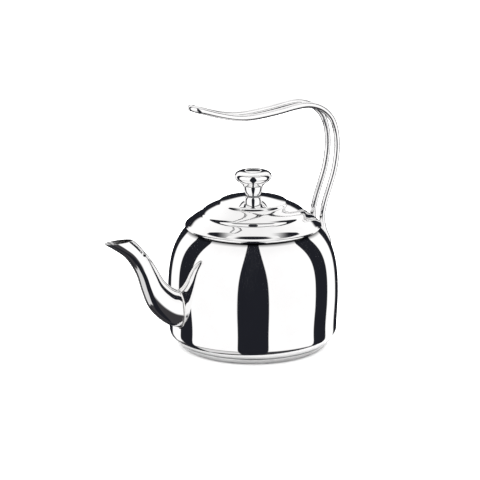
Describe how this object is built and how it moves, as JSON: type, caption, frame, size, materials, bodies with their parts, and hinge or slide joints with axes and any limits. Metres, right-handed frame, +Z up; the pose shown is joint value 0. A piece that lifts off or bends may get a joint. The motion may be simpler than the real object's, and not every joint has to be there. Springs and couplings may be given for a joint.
{
  "type": "stovetop kettle",
  "caption": "Round polished steel kettle with a short S-curved spout, a tiered lift-off lid with a turned knob, and a looped rod handle that arches over the lid.",
  "frame": {"origin": "on the body's axis, on the underside of the base", "axes": "+Z up along the body's axis; the spout points along -X and the handle rises from the body at +X; the kettle is symmetric about the XZ plane"},
  "size_m": [0.2467, 0.1612, 0.2378],
  "materials": {
    "polished_steel": "mirror polished stainless steel",
    "satin_steel": "fine circular brushed stainless steel",
    "bare_steel": "plain stainless fastener",
    "aluminium": "rolled aluminium disc",
    "silicone": "matte silicone"
  },
  "bodies": {
    "kettle": {"body_shell": "polished_steel", "base_cap": "satin_steel", "base_core_disc": "aluminium", "spout_half_left": "polished_steel", "spout_half_right": "polished_steel", "spout_root_weld": "polished_steel", "handle_rod": "polished_steel", "handle_weld_left": "polished_steel", "handle_weld_right": "polished_steel"},
    "lid": {"lid_shell": "polished_steel", "lid_collar": "satin_steel", "knob_gasket": "silicone", "knob_stem": "polished_steel", "knob_head": "polished_steel", "knob_cap": "polished_steel", "knob_nut": "bare_steel", "knob_washer": "bare_steel", "knob_lock_washer": "bare_steel", "knob_screw": "bare_steel"}
  },
  "joints": [
    {"name": "lid_lift", "type": "slide", "parent": "kettle", "child": "lid", "axis": [0, 0, 1], "range_m": [0, 0.042]}
  ]
}
